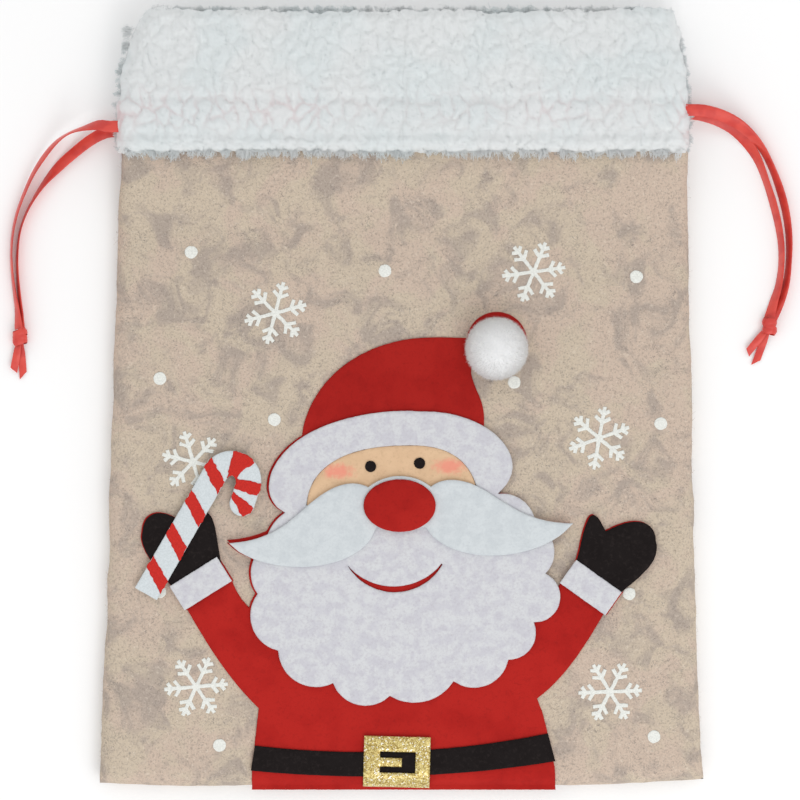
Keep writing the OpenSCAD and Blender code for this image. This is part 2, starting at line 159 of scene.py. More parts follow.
def give(obj, name, values):
    """Store one number for each point, for the material to read."""
    attribute = obj.data.attributes.new(name, "FLOAT", "POINT")
    attribute.data.foreach_set("value", np.asarray(values, np.float32).ravel())


def grid_faces(rows, columns, first=0, flip=False, closed=False):
    """Faces of a grid whose points run along the columns first; closed joins the last row to the first."""
    i, j = np.meshgrid(np.arange(rows if closed else rows - 1), np.arange(columns - 1), indexing="ij")
    a = (i * columns + j).ravel()
    b = (((i + 1) % rows) * columns + j).ravel()
    quads = np.stack([a, a + 1, b + 1, b], 1) + first
    return (quads[:, ::-1] if flip else quads).tolist()


def ride_or_blend(obj, where):
    """where is a body, or "left" or "right" for cloth of the front at that side, which gets no body and keeps
    its place.
    """
    if where in ("left", "right"):
        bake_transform(obj)
    else:
        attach(obj, where)
    return obj


def tufts(name, roots, tips, width, material, where, bend=0.25, facing=0.0):
    """Short bent fibres from roots to tips: tapering strips with their flat side roughly to facing."""
    n = len(roots)
    way = tips - roots
    length = np.linalg.norm(way, axis=1, keepdims=True)
    side = np.cross(way, facing + rng.normal(size=(n, 3)) * 0.3)
    side *= width / 2 / np.maximum(np.linalg.norm(side, axis=1, keepdims=True), 1e-9)
    middle = roots + way * 0.55 + rng.normal(size=(n, 3)) * bend * length
    points = np.stack([roots - side, roots + side, middle - side * 0.8, middle + side * 0.8, tips], 1)
    points[..., 2] = np.maximum(points[..., 2], 0.02)
    first = np.arange(n) * 5
    quads = np.stack([first, first + 1, first + 3, first + 2], 1).tolist()
    ends = np.stack([first + 2, first + 3, first + 4], 1).tolist()
    return ride_or_blend(make(name, points.reshape(-1, 3), quads + ends, material), where)


# ---- materials ----

def add(tree, kind, inputs=(), **settings):
    node = tree.nodes.new("ShaderNode" + kind)
    for key, value in settings.items():
        setattr(node, key, value)
    for key, value in dict(inputs).items():
        if isinstance(value, bpy.types.NodeSocket):
            tree.links.new(value, node.inputs[key])
        else:
            node.inputs[key].default_value = value
    return node


def place(tree):
    """Where a point is in the row frame, in metres."""
    return add(tree, "TexCoord").outputs["Object"]


def texture(tree, size, detail=3, distortion=0.0, rough=0.55):
    """Noise with bumps about size across, from about 0.3 to 0.7."""
    return add(tree, "TexNoise", {"Vector": place(tree), "Scale": 1 / (size * MM), "Detail": detail,
                                  "Roughness": rough, "Distortion": distortion}).outputs["Fac"]


def between(tree, value, low, high, smooth=True):
    """0 below low, 1 above high."""
    return add(tree, "MapRange", {"Value": value, "From Min": low, "From Max": high},
               interpolation_type="SMOOTHSTEP" if smooth else "LINEAR").outputs["Result"]


def calc(tree, operation, a, b=0.0):
    return add(tree, "Math", {0: a, 1: b}, operation=operation).outputs[0]


def mix(tree, factor, a, b):
    def colour(c):
        return (*c, 1) if isinstance(c, tuple) else c
    node = tree.nodes.new("ShaderNodeMix")
    node.data_type = "RGBA"
    for k, value in ((0, factor), (6, colour(a)), (7, colour(b))):
        if isinstance(value, bpy.types.NodeSocket):
            tree.links.new(value, node.inputs[k])
        else:
            node.inputs[k].default_value = value
    return node.outputs[2]


def bump(tree, height, depth):
    return add(tree, "Bump", {"Height": height, "Distance": depth * MM, "Strength": 1.0}).outputs["Normal"]


def material(name, build):
    """A material whose Principled shader gets the inputs that build(tree) returns."""
    made = bpy.data.materials.new(name)
    made.use_nodes = True
    tree = made.node_tree
    shader = tree.nodes["Principled BSDF"]
    for key, value in build(tree).items():
        if isinstance(value, bpy.types.NodeSocket):
            tree.links.new(value, shader.inputs[key])
        elif isinstance(value, tuple):
            shader.inputs[key].default_value = (*value, 1)
        else:
            shader.inputs[key].default_value = value
    return made


def beige_felt(tree):
    """Mixed wool: pinkish and yellowish clouds, dark and pale specks, and short grey hairs in patches."""
    tint = between(tree, texture(tree, 26, 3, 0.5), 0.42, 0.58)
    base = mix(tree, tint, (0.595, 0.475, 0.385), (0.59, 0.495, 0.385))
    clouds = between(tree, texture(tree, 19, 5, 0.8, 0.62), 0.46, 0.64)
    base = mix(tree, calc(tree, "MULTIPLY", clouds, 0.85), base, (0.40, 0.335, 0.29))
    specks = between(tree, texture(tree, 1.0, 4, 0.6, 0.7), 0.48, 0.66)
    base = mix(tree, calc(tree, "MULTIPLY", specks, 0.65), base, (0.28, 0.23, 0.195))
    pale = between(tree, texture(tree, 1.3, 3, 0.8, 0.7), 0.54, 0.70)
    base = mix(tree, calc(tree, "MULTIPLY", pale, 0.45), base, (0.76, 0.67, 0.56))
    near_line = calc(tree, "ABSOLUTE", calc(tree, "SUBTRACT", texture(tree, 2.6, 2, 1.8), 0.5))
    hairs = calc(tree, "SUBTRACT", 1.0, between(tree, near_line, 0.004, 0.028))
    broken = between(tree, texture(tree, 2.1, 2), 0.46, 0.56)
    patches = between(tree, texture(tree, 11, 4, 0.8), 0.47, 0.62)
    hairs_broken = calc(tree, "MULTIPLY", hairs, broken)
    shown = calc(tree, "MULTIPLY", hairs_broken, calc(tree, "MULTIPLY", patches, 0.72))
    base = mix(tree, shown, base, (0.135, 0.13, 0.135))
    return {"Base Color": base, "Roughness": 0.95, "Specular IOR Level": 0.25,
            "Normal": bump(tree, texture(tree, 1.1, 4, 0.5, 0.7), 0.16)}


def fleece(tree):
    """Sherpa. Attribute crease is 1 deep between the curls, where the colour is darkened as painted shade,
    and pink is where ribbon dye shows through.
    """
    crease = add(tree, "Attribute", attribute_name="crease").outputs["Fac"]
    pink = add(tree, "Attribute", attribute_name="pink").outputs["Fac"]
    tone = between(tree, texture(tree, 40, 2), 0.4, 0.6)
    base = mix(tree, tone, (0.722, 0.766, 0.774), (0.754, 0.775, 0.779))
    # Painted shade: the creases between curls are darkened towards grey.
    base = mix(tree, calc(tree, "MULTIPLY", crease, 0.20), base, (0.66, 0.67, 0.66))
    threads = calc(tree, "MULTIPLY", pink, between(tree, crease, 0.40, 0.95))
    base = mix(tree, calc(tree, "MULTIPLY", threads, 0.42), base, (0.62, 0.30, 0.32))
    base = mix(tree, calc(tree, "MULTIPLY", pink, 0.10), base, (0.80, 0.60, 0.62))
    curls = calc(tree, "ADD", texture(tree, 1.4, 3, 1.2, 0.6), texture(tree, 0.6, 2, 0.8))
    return {"Base Color": base, "Roughness": 1.0, "Specular IOR Level": 0.1, "Subsurface Weight": 0.35,
            "Subsurface Radius": [1, 1, 1], "Subsurface Scale": 3.0 * MM, "Normal": bump(tree, curls, 0.16)}


def plain_felt(colour, dark, fleck, fleck_share=0.5, light=None, extra=None, cloud=9, spot=1.9, soft=0.0):
    """Pressed felt of one colour: darker clouds, small flecks of another, and a fibre grain."""
    def build(tree):
        clouds = between(tree, texture(tree, cloud, 5 if soft else 3, soft), 0.4, 0.62)
        base = mix(tree, calc(tree, "MULTIPLY", clouds, 0.6), colour, dark)
        if light:
            base = mix(tree, between(tree, texture(tree, 26, 2), 0.42, 0.6), base, light)
        spots = between(tree, texture(tree, spot, 4, 0.6 - soft, 0.68), 0.50 - soft / 3, 0.70 + soft / 3)
        base = mix(tree, calc(tree, "MULTIPLY", spots, fleck_share), base, fleck)
        if extra:
            base = extra(tree, base)
        return {"Base Color": base, "Roughness": 0.95, "Specular IOR Level": 0.12,
                "Normal": bump(tree, texture(tree, 0.9, 4, 0.6, 0.7), 0.12)}
    return build


def cheeks(tree, base):
    """A soft pink oval on each cheek."""
    centres = ((-33.0, -36.8, 0.65), (24.0, -34.5, -0.44))
    for x, y, turn in centres:
        moved = add(tree, "Mapping", {"Vector": place(tree), "Location": (-x * MM, -y * MM, 0)}).outputs[0]
        turned = add(tree, "Mapping", {"Vector": moved, "Rotation": (0, 0, -turn),
                                       "Scale": (1 / (10.5 * MM), 1 / (5 * MM), 0)}).outputs[0]
        away = add(tree, "VectorMath", {0: turned}, operation="LENGTH").outputs["Value"]
        wisps = calc(tree, "MULTIPLY", calc(tree, "SUBTRACT", texture(tree, 2.2, 3), 0.5), 1.2)
        tint = calc(tree, "SUBTRACT", 1.0, between(tree, calc(tree, "ADD", away, wisps), 0.2, 1.1))
        base = mix(tree, calc(tree, "MULTIPLY", tint, 0.75), base, (0.85, 0.26, 0.20))
    return base


def painted_shade_above(tree, base):
    """Painted shade: the hat's end of the red cloth is made a little darker than the coat's, standing in for
    the light falling off towards the top.
    """
    height = add(tree, "SeparateXYZ", {0: place(tree)}).outputs["Y"]
    return mix(tree, between(tree, height, -0.095, -0.02), base, mix(tree, 0.14, base, (0.0, 0.0, 0.0)))


def flock(colour, dark):
    def build(tree):
        grain = between(tree, texture(tree, 0.8, 3, 0.4, 0.7), 0.36, 0.64)
        return {"Base Color": mix(tree, grain, dark, colour), "Roughness": 0.9, "Specular IOR Level": 0.2,
                "Normal": bump(tree, texture(tree, 0.7, 4, 0.3, 0.7), 0.2)}
    return build


def glitter(tree):
    speck = add(tree, "TexVoronoi", {"Vector": place(tree), "Scale": 1 / (0.55 * MM)})
    shade = add(tree, "SeparateColor", {0: speck.outputs["Color"]})
    # The gold is the flakes' own colour; its spread from dark amber to bright gold between flakes is painted
    # reflection, for flakes turned towards or away from the light.
    tone = between(tree, shade.outputs[0], 0.1, 0.9, False)
    base = mix(tree, tone, (0.36, 0.23, 0.045), (0.86, 0.72, 0.30))
    # Painted glints: a few flakes are near white.
    base = mix(tree, between(tree, shade.outputs[1], 0.9, 0.93), base, (1.0, 0.97, 0.85))
    return {"Base Color": base, "Metallic": 0.55, "Roughness": 0.35,
            "Normal": bump(tree, shade.outputs[2], 0.5)}


def satin(tree):
    threads = add(tree, "TexWave", {"Vector": place(tree), "Scale": 1 / (1.2 * MM), "Distortion": 1.5})
    tone = between(tree, texture(tree, 9, 2), 0.4, 0.6)
    base = mix(tree, tone, (0.62, 0.040, 0.030), (0.72, 0.065, 0.045))
    return {"Base Color": base, "Roughness": 0.38, "Specular IOR Level": 0.55, "Anisotropic": 0.5,
            "Normal": bump(tree, threads.outputs["Fac"], 0.02)}


def pompom_white(tree):
    wisps = between(tree, texture(tree, 1.0, 3), 0.35, 0.65)
    return {"Base Color": mix(tree, wisps, (0.86, 0.865, 0.87), (0.90, 0.90, 0.90)), "Roughness": 1.0,
            "Specular IOR Level": 0.1, "Subsurface Weight": 0.7, "Subsurface Radius": [1, 1, 1],
            "Subsurface Scale": 7.0 * MM, "Normal": bump(tree, texture(tree, 0.6, 3, 0.5), 0.10)}


def wool(tree):
    tone = between(tree, texture(tree, 3, 2), 0.4, 0.6)
    return {"Base Color": mix(tree, tone, (0.34, 0.28, 0.24), (0.64, 0.54, 0.46)), "Roughness": 0.9}


def make_materials():
    soft_white = {"cloud": 5.5, "spot": 1.3, "soft": 0.3}
    # The red felt gets painted shade: darker towards the hat end.
    red = plain_felt((0.42, 0.016, 0.013), (0.36, 0.013, 0.011), (0.25, 0.011, 0.010), 0.30,
                     (0.45, 0.019, 0.015), painted_shade_above)
    white = plain_felt((0.665, 0.675, 0.695), (0.55, 0.54, 0.60), (0.46, 0.43, 0.48), 0.55, **soft_white)
    whiter = plain_felt((0.65, 0.69, 0.71), (0.57, 0.61, 0.635), (0.50, 0.53, 0.56), 0.5, **soft_white)
    skin = plain_felt((0.745, 0.515, 0.325), (0.68, 0.46, 0.285), (0.54, 0.36, 0.22), 0.45, extra=cheeks)
    black = plain_felt((0.0125, 0.0095, 0.0095), (0.0095, 0.007, 0.007), (0.030, 0.023, 0.022), 0.5)
    builders = {
        "felt_beige": beige_felt, "fleece_white": fleece, "felt_red": red, "felt_white": white,
        "moustache_white": whiter, "felt_skin": skin, "felt_black": black,
        "flock_red": flock((0.62, 0.030, 0.022), (0.50, 0.024, 0.018)),
        "cane_white": flock((0.69, 0.74, 0.765), (0.60, 0.65, 0.67)),
        "flock_white": flock((0.86, 0.87, 0.82), (0.72, 0.73, 0.69)),
        "glitter_gold": glitter, "ribbon_satin": satin, "pompom_white": pompom_white, "wool_hairs": wool,
    }
    return {name: material(name, build) for name, build in builders.items()}


# ---- ribbons ----

RIBBON_W = 6
# Centre lines as in the part, from inside the fleece to the knot: x, y, z and the flat side's tilt in degrees
LEFT_FRONT = [(-137, 139, 21, 6), (-149, 138.8, 20.5, 12), (-155, 139.7, 18.5, 30), (-163, 138.5, 14, 62),
              (-171, 136, 9.5, 74), (-178, 131.3, 6.4, 66), (-184, 124.5, 4.6, 62), (-189.8, 115.5, 4, 66),
              (-194.6, 105, 3.6, 70), (-198.2, 95, 3.4, 72), (-200.3, 85, 3.2, 74), (-201, 75, 3.2, 76),
              (-200.6, 65, 3.2, 74), (-199.4, 55, 3.2, 70), (-198, 46, 3.4, 62), (-197, 36, 4.2, 40)]
LEFT_BACK = [(-137, 137.5, 7.5, -4), (-149, 137.2, 7, 4), (-155, 135.6, 6, 8), (-161, 132.3, 4.6, 14),
             (-168, 127, 3.4, 22), (-176, 120, 2.6, 30), (-184, 111, 2.9, 58), (-190, 102, 3.1, 72),
             (-194.4, 93, 3.1, 76), (-197, 84, 3.1, 76), (-198, 74, 3.1, 74), (-197.9, 64, 3.1, 72),
             (-197.1, 54, 3.1, 68), (-196.4, 45, 3, 58), (-196.2, 36, 3.4, 40)]
RIGHT_FRONT = [(137, 147, 21, 0), (149, 147.2, 20.5, 6), (155, 146.8, 18.8, 10), (163, 144.8, 15.4, 18),
               (171, 141.3, 11, 28), (178, 136, 7.4, 42), (184.6, 128.5, 5, 58), (190, 118, 4, 62),
               (194.4, 106, 3.6, 56), (197.3, 94, 3.3, 58), (198.6, 82, 3.2, 62), (198.4, 70, 3.2, 66),
               (197, 59, 3.2, 60), (194, 50, 3.4, 48), (189.6, 41, 4.2, 30)]
RIGHT_BACK = [(137, 146.6, 7.5, 0), (149, 146.2, 7, 4), (155, 145.2, 6, 6), (162, 143, 4.6, 12),
              (170, 138.6, 3.4, 20), (177.2, 131.6, 2.6, 32), (182.6, 123, 2.8, 52), (186.8, 112, 3, 62),
              (190.3, 101, 3, 58), (193, 90, 3, 60), (194.6, 79, 3, 64), (194.6, 68, 3, 66),
              (193.2, 58, 3, 60), (190.8, 50, 3.1, 50), (188.4, 41, 3.2, 30)]
RIBBONS = {"left": (LEFT_FRONT, LEFT_BACK, -90, (4, -11)), "right": (RIGHT_FRONT, RIGHT_BACK, -120, (10, -9))}


def smooth_line(points, step):
    """The points joined by a smooth curve, at steps of about step."""
    p = np.array(points, float)
    p = np.vstack([2 * p[0] - p[1], p, 2 * p[-1] - p[-2]])
    out = []
    for a, b, c, d in zip(p, p[1:], p[2:], p[3:]):
        for t in np.linspace(0, 1, max(2, round(np.linalg.norm((c - b)[:3]) / step)), endpoint=False):
            out.append(((2 * b) + (c - a) * t + (2 * a - 5 * b + 4 * c - d) * t * t
                        + (3 * b - a - 3 * c + d) * t ** 3) / 2)
    out.append(p[-2])
    return np.array(out)


def ribbon(name, route, width, across=7, thick=0.28):
    """A flat woven strip with two faces along a route of x, y, z and tilt. Returns it and its centre line."""
    line = smooth_line(route, 1.2)
    centre, tilt = line[:, :3], np.radians(line[:, 3])
    way = np.gradient(centre, axis=0)
    way /= np.linalg.norm(way, axis=1, keepdims=True)
    level = np.cross((0, 0, 1), way)
    level /= np.linalg.norm(level, axis=1, keepdims=True)
    up = np.cross(way, level)
    side = level * np.cos(tilt)[:, None] + up * np.sin(tilt)[:, None]
    face = np.cross(way, side)
    w = np.linspace(-1, 1, across)
    cup = 0.35 * (1 - w * w)
    lip = 0.05 * np.sin(np.arange(len(line)) * 2.4)
    rows = []
    for k, s in ((1, w), (-1, w[::-1])):
        spread = s[None, :, None] * (width / 2 + lip[:, None, None]) * side[:, None]
        rows.append(centre[:, None] + spread + (cup[None, :, None] + k * thick / 2) * face[:, None])
    points = np.concatenate(rows, 1)
    points = np.concatenate([points, points[:, :1]], 1)
    n, m = points.shape[:2]
    return make(name, points.reshape(-1, 3), grid_faces(n, m), LOOKS["ribbon_satin"]), centre


def wrap(name, centre, radii, turn, lean, body):
    """One turn of ribbon round a knot: a flat closed band, turned about Z and leaning about its own way."""
    a = np.linspace(0, 2 * math.pi, 40)
    rows = []
    for w in np.linspace(-1, 1, 5):
        r = 1 - 0.13 * w * w
        along = w * 1.9 + 0.3 * np.sin(2 * a)
        rows.append(np.stack([radii[0] * r * np.cos(a), along, radii[2] * r * np.sin(a)], 1))
    p = np.concatenate(rows)
    cl, sl, ct, st = math.cos(lean), math.sin(lean), math.cos(turn), math.sin(turn)
    p = p @ np.array([[cl, 0, sl], [0, 1, 0], [-sl, 0, cl]])
    p = p @ np.array([[ct, st, 0], [-st, ct, 0], [0, 0, 1]]) + centre
    return make(name, p, grid_faces(5, 40), LOOKS["ribbon_satin"])


def make_knot(side, heading):
    """A tight overhand knot: a lump of satin with three wraps over it."""
    low, high = box_mm(f"{side}_knot")
    centre = (low + high) / 2 - (0, 0, 0.6)
    a, b = np.meshgrid(np.linspace(0, 2 * math.pi, 33), np.linspace(0, math.pi, 17), indexing="xy")
    ball = np.stack([np.cos(a) * np.sin(b), np.sin(a) * np.sin(b), np.cos(b)], -1).reshape(-1, 3)
    lump = 1 + 0.10 * noise(ball * 2.4, 1, 5)
    lump_obj = make(f"{side}_knot_lump", ball * lump[:, None] * (3.3, 4.0, 2.9) + centre,
                    grid_faces(17, 33, flip=True), LOOKS["ribbon_satin"])
    turn = math.radians(heading + 90)
    bands = [wrap(f"{side}_knot_wrap_{k}", centre + (0, dy, 0), (3.9, 0, 3.3), turn + t, lean, side)
             for k, (dy, t, lean) in enumerate([(1.9, 0.35, 0.1), (-0.2, -0.30, 0.2), (-2.1, 0.25, -0.1)])]
    return [lump_obj, *bands]


def make_tails(side, heading, spread):
    """Two cut ends with a slanted, slightly frayed cut."""
    low, high = box_mm(f"{side}_ribbon_tails")
    knot = sum(box_mm(f"{side}_knot")) / 2
    made = []
    for k, angle in enumerate(spread):
        a = math.radians(heading + angle)
        way, over = np.array([math.cos(a), math.sin(a), 0]), np.array([-math.sin(a), math.cos(a), 0])
        t, w = np.meshgrid(np.linspace(0, 1, 16), np.linspace(-1, 1, 7), indexing="ij")
        length = 18.5 - 2.4 * k + 1.5 * w * (1 if k else -1) + 0.35 * np.where(t > 0.99, np.sin(w * 17), 0)
        run = 1.5 + t * length
        half = 1.15 + 0.75 * np.clip(t * 2.5, 0, 1)
        z = 2.6 - 1.5 * np.clip(t * 1.6, 0, 1) + 0.9 * k + (0.25 + 0.5 * k) * np.sin(w * 1.4 + t * 3)
        p = knot * (1, 1, 0) + run[..., None] * way + (w * half)[..., None] * over
        p[..., 2] += z
        lower = p - (0, 0, 0.2)
        points = np.concatenate([p.reshape(-1, 3), lower.reshape(-1, 3)])
        faces = grid_faces(16, 7, flip=True) + grid_faces(16, 7, first=112)
        made.append(make(f"{side}_ribbon_tail_{k}", points, faces, LOOKS["ribbon_satin"]))
    return made


def hidden_run(side):
    """The ribbon inside the back's tunnel, which slides with the free end."""
    low, high = box_mm(f"{side}_ribbon_loop")
    y, z = (low[1] + high[1]) / 2, low[2] + 0.6
    ends = (low[0] + 14, high[0] - 22) if side == "left" else (low[0] + 22, high[0] - 14)
    route = [(x, y, z, 0) for x in np.linspace(*ends, 6)]
    obj, _ = ribbon(f"{side}_ribbon_in_tunnel", route, RIBBON_W, across=3)
    return obj


def make_ribbons():
    for side, (front, back, heading, spread) in RIBBONS.items():
        body = f"{side}_ribbon"
        ends = make_knot(side, heading) + make_tails(side, heading, spread)
        for part, route in (("front", front), ("back", back)):
            obj, line = ribbon(f"{side}_{part}_strand", route, RIBBON_W)
            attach(obj, body)
            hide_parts(f"{side}_ribbon_{part}_strand")
        tunnel = hidden_run(side)
        for obj in [*ends, tunnel]:
            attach(obj, body)
        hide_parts(f"{side}_knot")
        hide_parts(f"{side}_ribbon_tails")
        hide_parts(f"{side}_ribbon_loop")


# ---- the felt shell ----

EDGE_Y = [-200, -100, 0, 100, 124]
LEFT_EDGE = [-155.3, -151.0, -148.4, -145.2, -143.3]
RIGHT_EDGE = [154.0, 149.8, 147.9, 146.3, 145.2]
BOTTOM_X = [-156, -90, 90, 155]
BOTTOM_EDGE = [-196.6, -198.0, -197.6, -195.0]
TUCKED = 14                     # how far the felt runs on under the cuff
HALF_W = 150                    # half the width that the grids' steps are counted over
FROM_EDGE = (0, 0.4, 1.0, 1.8, 2.8, 4.0, 5.5, 7.0, 8.6)     # grid lines near an edge, by distance from it


def left_edge(y):
    waves = 0.6 * flat_noise(0 * y, y, 16, 1)
    return np.interp(y, EDGE_Y, LEFT_EDGE) + waves + 0.25 * flat_noise(0 * y, y, 4, 2)


def right_edge(y):
    waves = 0.6 * flat_noise(0 * y, y, 18, 3)
    return np.interp(y, EDGE_Y, RIGHT_EDGE) + waves + 0.25 * flat_noise(0 * y, y, 4, 4)


def bottom_edge(x):
    waves = 0.7 * flat_noise(x, 0 * x, 22, 5)
    return np.interp(x, BOTTOM_X, BOTTOM_EDGE) + waves + 0.2 * flat_noise(x, 0 * x, 5, 6)


def seam_z(y):
    return BODY_SEAM_Z + (CUFF_SEAM_Z - BODY_SEAM_Z) * np.clip(1 - (CUFF_Y - y) / NECK, 0, 1)


def fullness(x, y):
    """0 at the sack's side and bottom edges, 1 where it has its full thickness."""
    side = np.clip(1 - np.minimum(x - left_edge(y), right_edge(y) - x) / EDGE_ROUND, 0, 1)
    foot = np.clip(1 - (y - bottom_edge(x)) / EDGE_ROUND, 0, 1)
    return np.sqrt((1 - side ** 2) * (1 - foot ** 2))


def ripple(x, y):
    """The cloth's slight waves, strongest away from the figure."""
    return 0.75 * flat_noise(x, y, 62, 7) + 0.3 * flat_noise(x, y, 21, 8)


def felt_z(x, y, side, inward=0.0):
    full = fullness(x, y)
    wave = ripple(x, y) * full if side > 0 else 0
    thick = np.maximum((BODY_SEAM_Z - SEAM_GAP) * full - inward, 0)
    return seam_z(y) + side * (SEAM_GAP + thick) + wave


def ladder(span, step, start=FROM_EDGE):
    """Distances from an edge, close together near it."""
    rest = np.linspace(start[-1], span, max(2, round((span - start[-1]) / step)))
    return np.array([*start[:-1], *rest])


def panel_grid(step):
    """The plan of a panel: x and y at each row and column, and the number of the middle column."""
    across = ladder(1, step / HALF_W, tuple(d / HALF_W for d in FROM_EDGE))
    s = np.concatenate([across - 1, (1 - across[::-1])[1:]])
    up = ladder(CUFF_Y + TUCKED - BOTTOM_EDGE[1], step)
    x, y = np.meshgrid(s * HALF_W, up, indexing="xy")
    y = bottom_edge(x) + y * (CUFF_Y + TUCKED - bottom_edge(x)) / up[-1]
    left, right = left_edge(y), right_edge(y)
    return left + (s[None, :] + 1) / 2 * (right - left), y, len(across) - 1


def make_panel(name, side, step):
    """A felt panel with its inner face, in a left and a right half that meet along the middle column."""
    x, y, middle = panel_grid(step)
    for where, cols in (("left", slice(0, middle + 1)), ("right", slice(middle, None))):
        for face, inward in (("outside", 0), ("inside", FELT)):
            grid = np.stack([x, y, felt_z(x, y, side, inward)], -1)[:, cols]
            obj = make(f"{name}_{where}_{face}", grid.reshape(-1, 3),
                       grid_faces(*grid.shape[:2], flip=(side > 0) == (inward > 0)), LOOKS["felt_beige"])
            ride_or_blend(obj, where if side > 0 else "back")
        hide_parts(name)


def edge_hairs():
    """Loose wool fibres along the front panel's sides."""
    n = 900
    for where in ("left", "right"):
        y = rng.uniform(-192, CUFF_Y, n)
        edge = left_edge(y) if where == "left" else right_edge(y)
        s = -1 if where == "left" else 1
        x = edge - s * rng.uniform(0.2, 2.5, n)
        roots = np.stack([x, y, seam_z(y) + rng.uniform(0.2, 2, n)], 1)
        way = np.stack([s * rng.uniform(0.2, 1, n), rng.normal(size=n) * 0.9, rng.normal(size=n) * 0.5], 1)
        tips = roots + way * rng.uniform(0.8, 2.2, n)[:, None]
        hairs = tufts(f"side_hairs_{where}", roots, tips, 0.10, LOOKS["wool_hairs"], where)


# ---- the fleece cuff ----

CUFF_EDGE_Y = [124, 129, 138, 150, 170, 186.5, 193.7, 199]
CUFF_LEFT = [-144.2, -145.6, -146.4, -145.6, -142.4, -138.9, -134.2, -129.0]
CUFF_RIGHT = [143.6, 146.0, 147.2, 147.0, 144.6, 141.9, 139.8, 137.0]
BACK_INSET = 1.5                # how much narrower the back cuff is at each side
MOUTH = 3                       # half the gap at the mouth
WALL_MID = (BODY_SEAM_Z + CUFF_SEAM_Z) / 2
STITCHES = (134, 152.5)         # the tunnel's two rows of stitches


def cuff_profile(step):
    """The cuff's outline across the sack, as y and height off the seam plane, and how full its pile is."""
    r = (CUFF_SEAM_Z - MOUTH) / 2
    mid = MOUTH + r
    top, foot = TOP_Y - 1.2 - r, CUFF_Y + 1.6 + r
    inside = [(y, MOUTH) for y in np.arange(foot, top, step * 1.6)]
    over = [(top + r * math.sin(a), mid - r * math.cos(a)) for a in np.arange(0, math.pi, step / r)]
    outside = [(y, CUFF_SEAM_Z) for y in np.arange(top, foot, -step)]
    under = [(foot - r * math.sin(a), mid + r * math.cos(a)) for a in np.arange(0, math.pi, step / r)]
    p = np.array(inside + over + outside + under)
    pile = np.concatenate([np.full(len(inside), 0.25), np.linspace(0.4, 1, len(over)),
                           np.ones(len(outside)), np.linspace(1, 0.8, len(under))])
    return p, pile


def cuff_surface(side, step):
    """Points, creases, pink tint and directions out, as rows along the profile by columns across."""
    profile, pile = cuff_profile(step)
    s = np.linspace(-1, 1, 2 * round(148 / step) + 1)
    s = np.sign(s) * (1 - (1 - np.abs(s)) ** 1.06)
    y0, off = profile[:, :1], profile[:, 1:]
    across = s[None] * HALF_W
    dip = 1.6 * (1 - s[None] ** 2) + 0.8 * flat_noise(across, 0 * across, 30, 21)
    dip += 0.8 * flat_noise(across, 0 * across, 5, 22) + 0.5 * flat_noise(across, 0 * across, 2, 23)
    y = CUFF_Y + (y0 - CUFF_Y) * (1 - dip / (TOP_Y - CUFF_Y))
    left = np.interp(y, CUFF_EDGE_Y, CUFF_LEFT) + 1.3 * flat_noise(0 * y, y, 6, 24)
    right = np.interp(y, CUFF_EDGE_Y, CUFF_RIGHT) + 1.3 * flat_noise(0 * y, y, 6, 25)
    if side < 0:
        left, right = left + BACK_INSET, right - BACK_INSET
    x = (left + right) / 2 + s[None] * (right - left) / 2
    close = np.sqrt(np.clip(1 - (1 - np.minimum(x - left, right - x) / 11).clip(0, 1) ** 2, 0, 1))
    groove = sum(np.exp(-((y - line) / 2.4) ** 2) for line in STITCHES) * (off > WALL_MID)
    z = CUFF_SEAM_Z + side * (SEAM_GAP + (off - 1.0 * groove) * close)
    points = np.stack([x, y, z], -1)

    along = np.gradient(points, axis=0)
    over = np.gradient(points, axis=1)
    out = np.cross(along, over) * side
    out /= np.maximum(np.linalg.norm(out, axis=2, keepdims=True), 1e-9)
    length = np.cumsum(np.r_[0, np.linalg.norm(np.diff(profile, axis=0), axis=1)])
    u, v = points[..., 0] + 400 * (side < 0), np.broadcast_to(length[:, None], x.shape)
    wu = u + 2.2 * flat_noise(u, v, 9, 31) + 0.8 * flat_noise(u, v, 3, 32)
    wv = (v + 2.6 * flat_noise(u, v, 8, 33) + 0.8 * flat_noise(u, v, 3, 34)) * 0.78
    big, small = domes(wu, wv, 7.4, 35), domes(wu, wv, 3.1, 36)
    curl = fractal(np.stack([u.ravel(), v.ravel(), 0 * u.ravel()], 1), 1.7, 2, 37).reshape(u.shape)
    swell = 0.7 * flat_noise(u, v, 24, 38)
    height = 1.0 * big + 0.4 * small + 0.16 * curl + swell - 0.7
    points += out * (height * pile[:, None] * (0.35 + 0.65 * close))[..., None]
    points[..., 2] = np.maximum(points[..., 2], 0.05)
    # crease marks the creases between curls, which the fleece material darkens as painted shade.
    crease = np.clip(1 - 0.8 * big - 0.2 * small, 0, 1) * pile[:, None]
    band = np.exp(-((y - 147) / 9) ** 2) * (0.35 + 0.65 * np.clip(0.5 + flat_noise(u, 0 * u, 26, 39), 0, 1))
    exits = np.exp(-((np.abs(x) - 147) / 6) ** 2) * np.exp(-((y - 142) / 10) ** 2)
    pink = np.clip(0.5 * band + 1.1 * exits, 0, 1) * pile[:, None]
    return points, crease, pink, out


def make_cuff(name, side, step):
    points, crease, pink, out = cuff_surface(side, step)
    middle = points.shape[1] // 2
    for where, cols in (("left", slice(0, middle + 1)), ("right", slice(middle, None))):
        part = points[:, cols]
        faces = grid_faces(*part.shape[:2], closed=True, flip=side < 0)
        obj = make(f"{name}_{where}", part.reshape(-1, 3), faces, LOOKS["fleece_white"])
        give(obj, "crease", crease[:, cols])
        give(obj, "pink", pink[:, cols])
        ride_or_blend(obj, where if side > 0 else "back")
        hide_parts(name)
    cuff_fuzz(name, side, points, out)


